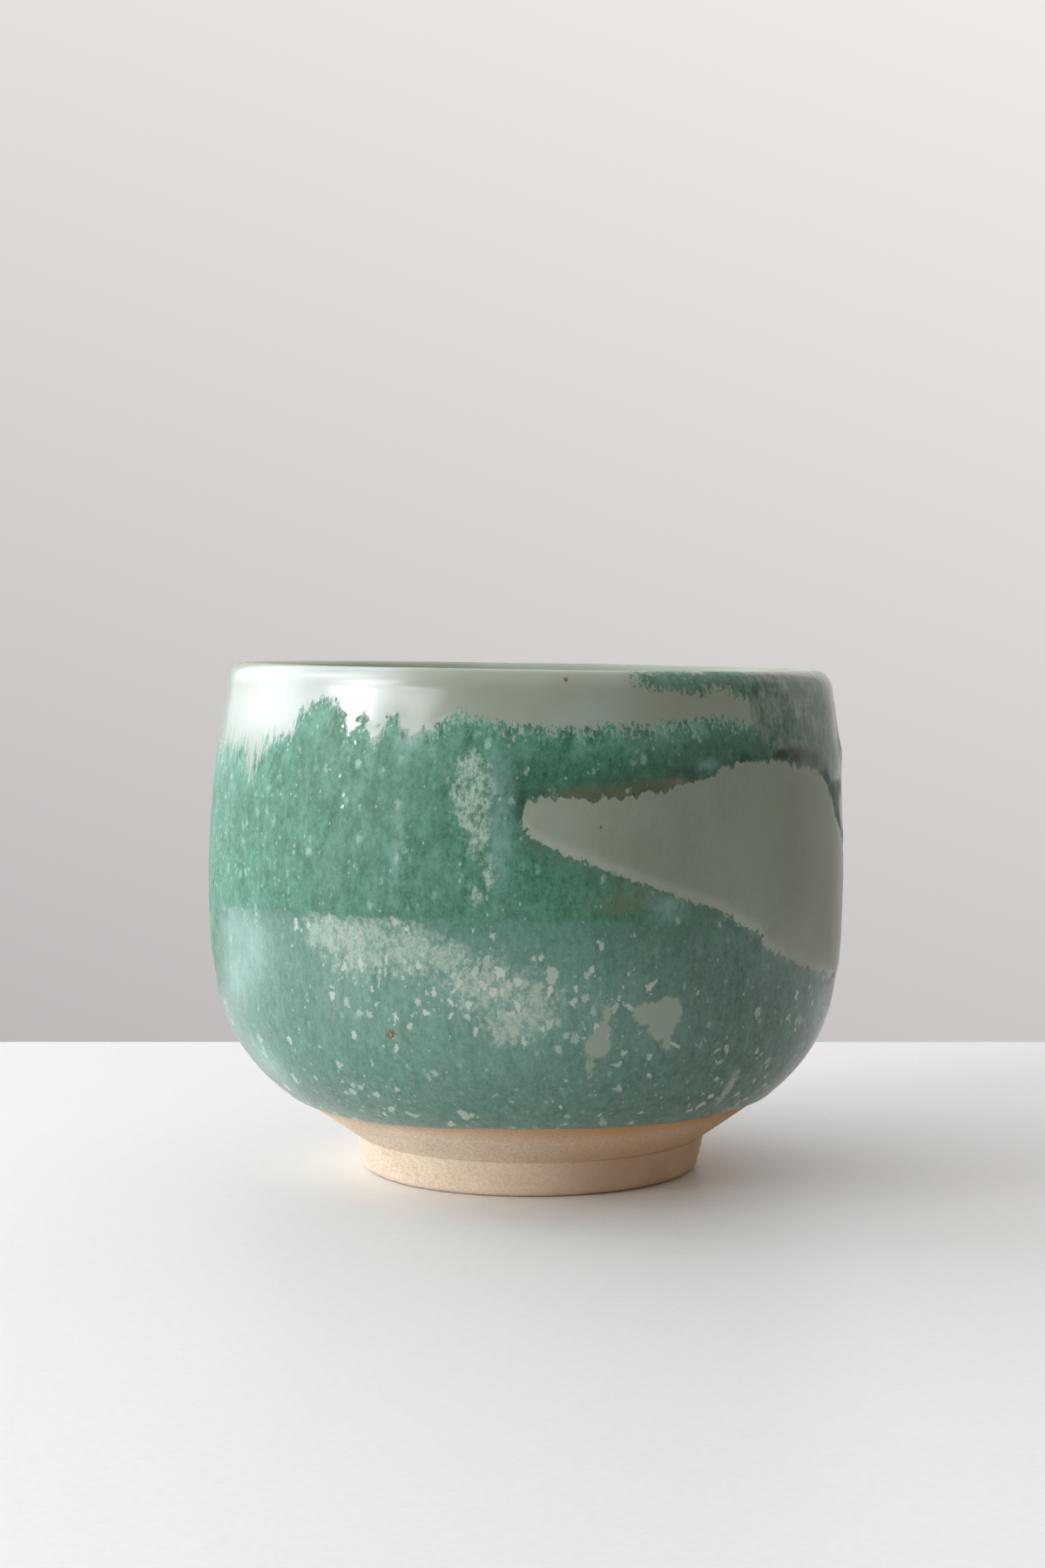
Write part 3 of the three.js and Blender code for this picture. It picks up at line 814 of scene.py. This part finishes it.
def lowerColour(flow, n, f):
    look = SimpleNamespace(**lowLook)
    shade = stirred(n, 0.5, fine=0.7, grain=0.4, streaks=0.7)
    hue = stirred(n, 0.5, middle=1.2, broad=0.8)
    # darker towards the glaze line, and painted shade darkening the coat towards the right
    deepAndShade = (0.5 + 0.5 * f.fromGlaze.ease(0, 20)) * (1 - look.right * n.right)
    base = hue.ease(0.15, 0.85).mix(glaze["low"], glaze["lowGrey"])
    base = deepAndShade.mix(glaze["lowDeep"], base)
    haze = (f.speckle + f.cloud * 0.8) * n.streaks.ease(0.25, 0.75)
    base = layered(
        # the pale areas at the left hold a painted reflection of the window
        base, (f.pale * look.pale, "pale"),
        ((1 - f.fromGlaze.ease(0, 7)) * look.foot, "lowLight"),
        (f.blue * look.blue + haze * look.haze, "sky"))
    dark = base.towards(glaze["lowDeep"], look.dark)
    bright = base.towards(glaze["lowLight"], look.bright)
    veil = f.dipRise.ease(-3.6, 0) * (n.streaks + n.middle * 0.5).ease(0.62, 0.95)
    blobs = flow.flecks(1.3, 1.6, 0.4, 0.27, 0.6, seed=47, blur=0.1)
    colour = layered(shade.ease(0.1, 0.9).mix(dark, bright),
                     (veil * look.veil, "emerald"), (blobs * look.blobs, "lowLight"))
    cover, frost = frosting(n, "frost", f.cloud, "frost", look.ragged)
    colour = (cover * look.frost).mix(colour, frost)

    # dots, chips and flakes, more of them round the cloud and near the glaze line, and the pale patches
    dots = flow.flecks(0.8, 1.4, 0.16 + 0.3 * f.speckle, 0.26, 0.5, seed=49, blur=0.06)
    low = (1 - f.fromGlaze.ease(4, 10)) * (1 - 0.5 * n.left)
    chips = flow.chips(1.15, 1.5, 0.05 + 0.32 * f.speckle + 0.06 * low, n.lace, 0.5, seed=53)
    flakes = flow.chips(1.8, 1.3, 0.02 + 0.17 * f.speckle + 0.06 * low, n.lace, 0.45, seed=59)
    spots = (dots * look.dots).most(chips * look.chips).most(flakes * look.flakes)
    patch = stirred(n, f.blotch, tatter=2.4).ease(-0.2, 0.3)
    return layered(colour, (spots, "fleck"), (patch, "patch")), spots.most(patch)


# specks of iron that burnt through: bearing, height and radius
ironSpots = [(-23.5, 27.5, 0.75), (6, 77.6, 0.3), (12, 57.2, 0.22), (143, 62, 0.35), (-141, 33, 0.7)]


def ironAt(flow, n, colour):
    for bearing, height, radius in ironSpots:
        r, z = along(runAt(height))
        turn = math.radians(bearing)
        away = flow.distance(tuple(around(turn, r, z))) * (1 / radius) + n.lace.sway(2)
        colour = layered(colour, ((1 - away.ease(0.5, 1.3)) * 0.8, "iron"))
        if radius > 0.5:   # a burst speck with a pale middle
            colour = layered(colour, ((1 - away.ease(0.15, 0.45)) * 0.7, "ironLight"))
    return colour


rimLook = {"pooled": 0.35, "runs": 17, "dash": 0.95}
cornerLook = {"feathers": 0.32, "shadows": 0.4, "corner": 0.9, "umber": 0.85}
paneLook = {"margin": 0.38, "right": 0.6}
gloss = {"rough": 0.18, "under": 0.08, "green": 0.34, "glint": 0.44, "window": 0.1}


# pale glaze over the rim with a ragged fringe, dissolving into runs at the left
def rimColour(flow, n, f):
    rim = (n.broad * 1.6 - 0.3).ease(0.2, 0.8).mix(glaze["rim"], glaze["rimWarm"])
    pooled = 1 - flow.split()[2].ease(10.5, 19)   # on the floor inside
    # whiter at the left: partly the rim glaze's own colour, partly a painted highlight
    rim = layered(rim, (f.pale, "rimCool"), (pooled * rimLook["pooled"], "cornerGreen"))
    fringe = stirred(n, f.rimRise, teeth=1.0, tatter=4.4, lace=2.0)
    fringe = fringe + n.runs.sway(n.left) * rimLook["runs"]
    isRim = (fringe * (1 - 0.8 * n.left)).ease(-0.3, 0.35)
    dash = stirred(n, f.dash, teeth=1.1, lace=1.8).ease(0.42, 0.54)
    return isRim * (1 - dash * f.dash.ease(0.05, 0.3) * rimLook["dash"]), rim


# feathered grey-green at the right of the rim
def cornerColour(n, f):
    warmth = stirred(n, 0.34, middle=1.8, streaks=1.4) + f.rosy * 0.6
    corner = warmth.ease(0.15, 0.95).mix(glaze["cornerGreen"], glaze["cornerGrey"])
    feathers = (n.strokes * 0.6 + n.lace * 0.4 - 0.5).ease(-0.12, 0.16)
    shadows = (0.5 - n.tatter + (0.5 - n.middle) * 0.5).ease(-0.04, 0.12)
    feathers, shadows = feathers * cornerLook["feathers"], shadows * cornerLook["shadows"]
    corner = layered(corner, (feathers, "fleck"), (shadows, "belt"))
    isCorner = stirred(n, f.corner, streaks=0.9, middle=0.7, lace=0.5).ease(0.2, 0.75)
    return isCorner * f.corner.ease(0, 0.2), corner


# smooth pale window with small teeth, a paler margin along its foot and painted shade towards the right
def paneColour(flow, n, f):
    onTop = f.overTop.ease(-4, -1)
    hooks = 1 - flow.scaled(1.6, 60, 67).cells().ease(0.1, 0.55)
    bite = n.teeth.sway(1.2) + n.tatter.sway(3.0 - onTop * 1.6) + (0.25 - hooks * 0.95) * onTop
    isWindow = (f.window + bite).ease(-0.08, 0.1)
    mottled = stirred(n, n.broad * 1.5 - 0.25, middle=0.8, fine=0.7, grain=0.6)
    pane = mottled.ease(0.1, 0.9).mix(glaze["window"], glaze["windowDark"])
    margin = (1 - f.overLow.ease(0.7, 2.2)) * f.overLow.ease(-3, 0)
    # painted shade: the window darkens towards the right, away from the window light
    right = flow.split()[0].ease(30, 46)
    pane = layered(pane, (margin * paneLook["margin"], "halo"), (right * paneLook["right"], "windowShade"))
    return isWindow, pane


def pouredGlaze():
    material, wire, surface = newMaterial("pouredGlaze", IOR=1.5)
    flow = wire.field("flow")
    sets = {**edgeSets, **washSets}
    parts = {key: part for name, keys in sets.items() for key, part in zip(keys, wire.field(name).split())}
    f = SimpleNamespace(**parts)
    n = glazeNoises(flow)
    upper = upperColour(flow, n, f)
    lower, spots = lowerColour(flow, n, f)
    isRim, rim = rimColour(flow, n, f)
    isCorner, corner = cornerColour(n, f)
    isWindow, pane = paneColour(flow, n, f)
    isUpper = stirred(n, f.dipRise, fine=2.0, tatter=2.4, middle=2.2).ease(-0.14, 0.18)
    umber = stirred(n, f.umber, middle=0.7, tatter=0.8)
    umber = umber.ease(0.25, 1.05) * f.umber.ease(0.05, 0.3)

    colour = isUpper.mix(lower, upper)
    colour = isRim.mix(colour, rim)
    colour = (isCorner * cornerLook["corner"]).mix(colour, corner)
    colour = layered(colour, (umber * cornerLook["umber"], "umber"))
    colour = isWindow.mix(colour, pane)
    plug(ironAt(flow, n, colour), surface, "Base Color")

    # the green is duller than the pale glazes, with small glints
    green = isUpper * (1 - isRim.most(isWindow).most(isCorner))
    glint = flow.flecks(0.7, 1.3, 0.25, 0.36, 0.3, seed=101, blur=0.06)
    under = (1 - isUpper) * (1 - isWindow)
    rough = gloss["rough"] + under * gloss["under"] + green * (gloss["green"] - gloss["glint"] * glint)
    plug(rough + isWindow * gloss["window"], surface, "Roughness")
    roughen(green * (n.fine + n.grain * 0.6) + spots * under * 0.2, surface, 0.6, 0.00004)
    return material


clayLook = {"buff": tint(206, 186, 161), "sand": tint(245, 229, 209), "rightShade": tint(196, 150, 98),
            "toastAndShade": tint(198, 141, 78), "iron": tint(120, 84, 54), "rightShadeShare": 0.62, "speckShare": 0.45}


def bareClayMaterial():
    material, wire, surface = newMaterial("bareClay", Roughness=0.82, Specular_IOR_Level=0.3)
    flow = wire.field("flow")
    fromGlaze = wire.field("edges").split()[0]
    sand = flow.grain(0.5, 1.0, 3, 0.65, seed=5)
    cloudy = flow.grain(6, 0.6, 3, seed=9)
    grit = flow.grain(0.22, 1.0, 1, seed=15)
    grains = sand * 1.5 + grit * 0.9 + cloudy * 0.6 - 0.95
    colour = grains.ease(0.1, 0.9).mix(clayLook["buff"], clayLook["sand"])
    side = flow.split()[0].ease(-24, 26)   # painted shade: darker, more orange clay to the right, away from the window light
    onRing = 1 - fromGlaze.ease(-7.9, -7.4)
    # the ring keeps less pale sand at its left, a painted darkening where the window light falls strongest
    colour = (onRing * (0.15 + 0.7 * side)).mix(colour, clayLook["sand"])
    colour = (side * clayLook["rightShadeShare"] * (0.5 + cloudy)).mix(colour, clayLook["rightShade"])
    # an orange band just under the glaze line, stronger to the right as painted shade
    toastAndShade = fromGlaze.ease(-2.8, -0.1) * (0.26 + 0.42 * side + 0.36 * cloudy)
    colour = toastAndShade.mix(colour, clayLook["toastAndShade"])
    specks = flow.flecks(1.6, 1.0, 0.3, 0.1, 0.2, seed=13)
    colour = (specks * clayLook["speckShare"]).mix(colour, clayLook["iron"])
    plug(colour, surface, "Base Color")
    roughen(sand + 0.6 * grit - 0.6 * specks, surface, 0.8, 0.0001)
    return material


glazeMaterial = pouredGlaze()
clayMaterial = bareClayMaterial()
pieces = (
    (bowl, "thrown_bowl", "bowl_clay", clayMaterial),
    (footRing, "foot_ring", "foot_clay", clayMaterial),
    (linerCoat, "liner_glaze", "liner_glaze", glazeMaterial),
    (rimCoat, "rim_glaze", "rim_glaze", glazeMaterial),
    (upperCoat, "upper_green_glaze", "upper_glaze", glazeMaterial),
    (lowerCoat, "lower_green_glaze", "lower_glaze", glazeMaterial),
    (windowCoat, "window_glaze", "window_glaze", glazeMaterial),
)
for piece, node, slot, material in pieces:
    piece.data.materials.append(material)
    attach(piece, "root")
    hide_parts(node)
print("materials set")


# table with its far edge behind the cup, and a wall well behind it, in metres
# boxes are given by their low and high corners
room = {
    "table": ((-0.6, -0.2, -0.03), (0.3, 0.124, 0.0)), "wall": ((-3, 1.3, -0.74), (3, 1.35, 2.5)),
    "floor": ((-3, -3, -0.79), (3, 1.3, -0.74)), "pale": ((-3, -3, -0.74), (3, 1.32, 2.5)),
    "tableTints": (tint(232, 233, 235), tint(240, 241, 243)), "boards": tint(150, 132, 112),
    "wallGlow": (1.0, 0.962, 0.945, 1), "lowGlow": (0.5, 0.48, 0.465, 1), "highGlow": (0.82, 0.79, 0.77, 1),
}
black = (0, 0, 0, 1)


def boxPiece(name, key, material):
    faces = [(0, 1, 3, 2), (4, 6, 7, 5), (0, 4, 5, 1), (2, 3, 7, 6), (0, 2, 6, 4), (1, 5, 7, 3)]
    data = bpy.data.meshes.new(name)
    data.from_pydata(list(itertools.product(*zip(*room[key]))), [], faces)
    data.update()
    data.materials.append(material)
    return placed(name, data)


def tableMaterial():
    material, wire, surface = newMaterial("whiteTable", Roughness=0.42, Specular_IOR_Level=0.35)
    values = {"Vector": wire.place(), "Scale": 900.0, "Detail": 2.0}
    mottled = wire.make("ShaderNodeTexNoise", {}, values)
    plug(mottled.mix(*room["tableTints"]), surface, "Base Color")
    roughen(mottled, surface, 0.15, 0.0002)
    return material


def glowing(name):
    return newMaterial(name, Base_Color=black, Roughness=1.0, Specular_IOR_Level=0.0, Emission_Strength=1.0)


def wallMaterial():
    material, wire, surface = glowing("paleWall")
    x, y, z = wire.place().split()
    # the wall glows instead of being lit, a painted fall of light: brighter higher up and to the right,
    # dimmed at the far right
    share = (z * 0.40 + x * 0.13 + 0.622).most(0.3) * (1 - 0.45 * x.ease(0.55, 0.95))
    plug(share.mix(black, room["wallGlow"]), surface, "Emission Color")
    return material


table = boxPiece("tableTop", "table", tableMaterial())
wall = boxPiece("backWall", "wall", wallMaterial())
boards = newMaterial("floorBoards", Base_Color=room["boards"], Roughness=0.7)[0]
ground = boxPiece("roomFloor", "floor", boards)
ground.visible_camera = False


# pale room round the table that only the camera sees, so that it throws no light on the cup; its glow is
# painted light, dimmer towards the floor
def paleRoom():
    material, wire, surface = glowing("paleRoom")
    lift = wire.place().split()[2]
    plug(lift.ease(-0.9, 1.6).mix(room["lowGlow"], room["highGlow"]), surface, "Emission Color")
    walls = boxPiece("paleRoom", "pale", material)
    walls.visible_diffuse = walls.visible_glossy = walls.visible_shadow = walls.visible_transmission = False
    return walls


paleRoom()


# lights: bearing and elevation from the middle of the cup, distance and size in metres, power, colour,
# and the share of the width and of the height that each soft border takes
lampAim = Vector((0, 0, 0.045))
lamps = {
    "windowLeft": (-126, 22, 1.3, (2.8, 1.8), 38, (0.95, 0.985, 1.03)),
    "windowHigh": (-97, 42, 1.5, (0.9, 0.8), 12, (0.96, 0.985, 1.02)),
    "windowFront": (-67, 12, 1.6, (0.75, 0.4), 21, (0.97, 0.985, 1.0), (0.4, 0.4)),
    "windowUpper": (-67, 30, 1.6, (0.9, 0.8), 20, (0.97, 0.985, 1.0)),
    "windowVeil": (-43, 17, 1.6, (0.9, 0.4), 8.5, (0.98, 0.985, 1.0), (0.5, 0.4)),
    "roomRight": (104, 12, 2.0, (1.6, 1.0), 1.6, (1.0, 0.97, 0.93)),
    "windowGap": (-66.5, 5.5, 1.6, (0.09, 0.16), 4, (1.0, 0.985, 0.95), (0.3, 0.3)),
}


def softLight(name, bearing, elevation, distance, size, power, colour, soft=(0.5, 0.5)):
    data = bpy.data.lights.new(name, "AREA")
    data.shape = "RECTANGLE"
    data.size, data.size_y = size
    data.energy, data.color = power, colour
    data.use_nodes = True
    u, v = Wire(data.node_tree).make("ShaderNodeNewGeometry", {}, {}, "Parametric").split()[:2]
    sides, ends = soft
    fade = u.ease(0, sides) * (1 - u.ease(1 - sides, 1)) * v.ease(0, ends) * (1 - v.ease(1 - ends, 1))
    plug(fade, data.node_tree.nodes["Emission"], "Strength")
    lamp = placed(name, data)
    turn, lift = math.radians(bearing), math.radians(elevation)
    way = Vector((math.sin(turn) * math.cos(lift), -math.cos(turn) * math.cos(lift), math.sin(lift)))
    lamp.location = lampAim + way * distance
    lamp.rotation_euler = (lampAim - lamp.location).to_track_quat("-Z", "Y").to_euler()
    lamp.visible_camera = False


for name, settings in lamps.items():
    softLight(name, *settings)


# light from the ceiling, dim towards the room in front
sky = {"above": (0.72, 0.67, 0.62, 1), "level": (0.085, 0.076, 0.066, 1)}
world = bpy.data.worlds.new("room")
bpy.context.scene.world = world
world.use_nodes = True
lift = Wire(world.node_tree).place("Generated").split()[2]
glow = lift.ease(0.2, 0.9).mix(sky["level"], sky["above"])
plug(glow, world.node_tree.nodes["Background"], "Color")

view = {"place": (-0.5, -413.46, 83.97), "pitch": 3.243, "lens": 60.0}
lens = bpy.data.cameras.new("photoView")
lens.lens, lens.sensor_width, lens.clip_start = view["lens"], 36.0, 0.01
camera = placed("photoView", lens)
camera.location = Vector(view["place"]) * mm
camera.rotation_euler = (math.radians(90 - view["pitch"]), 0, 0)
bpy.context.scene.camera = camera
bpy.context.scene.view_settings.view_transform = "Standard"
print("stage set")
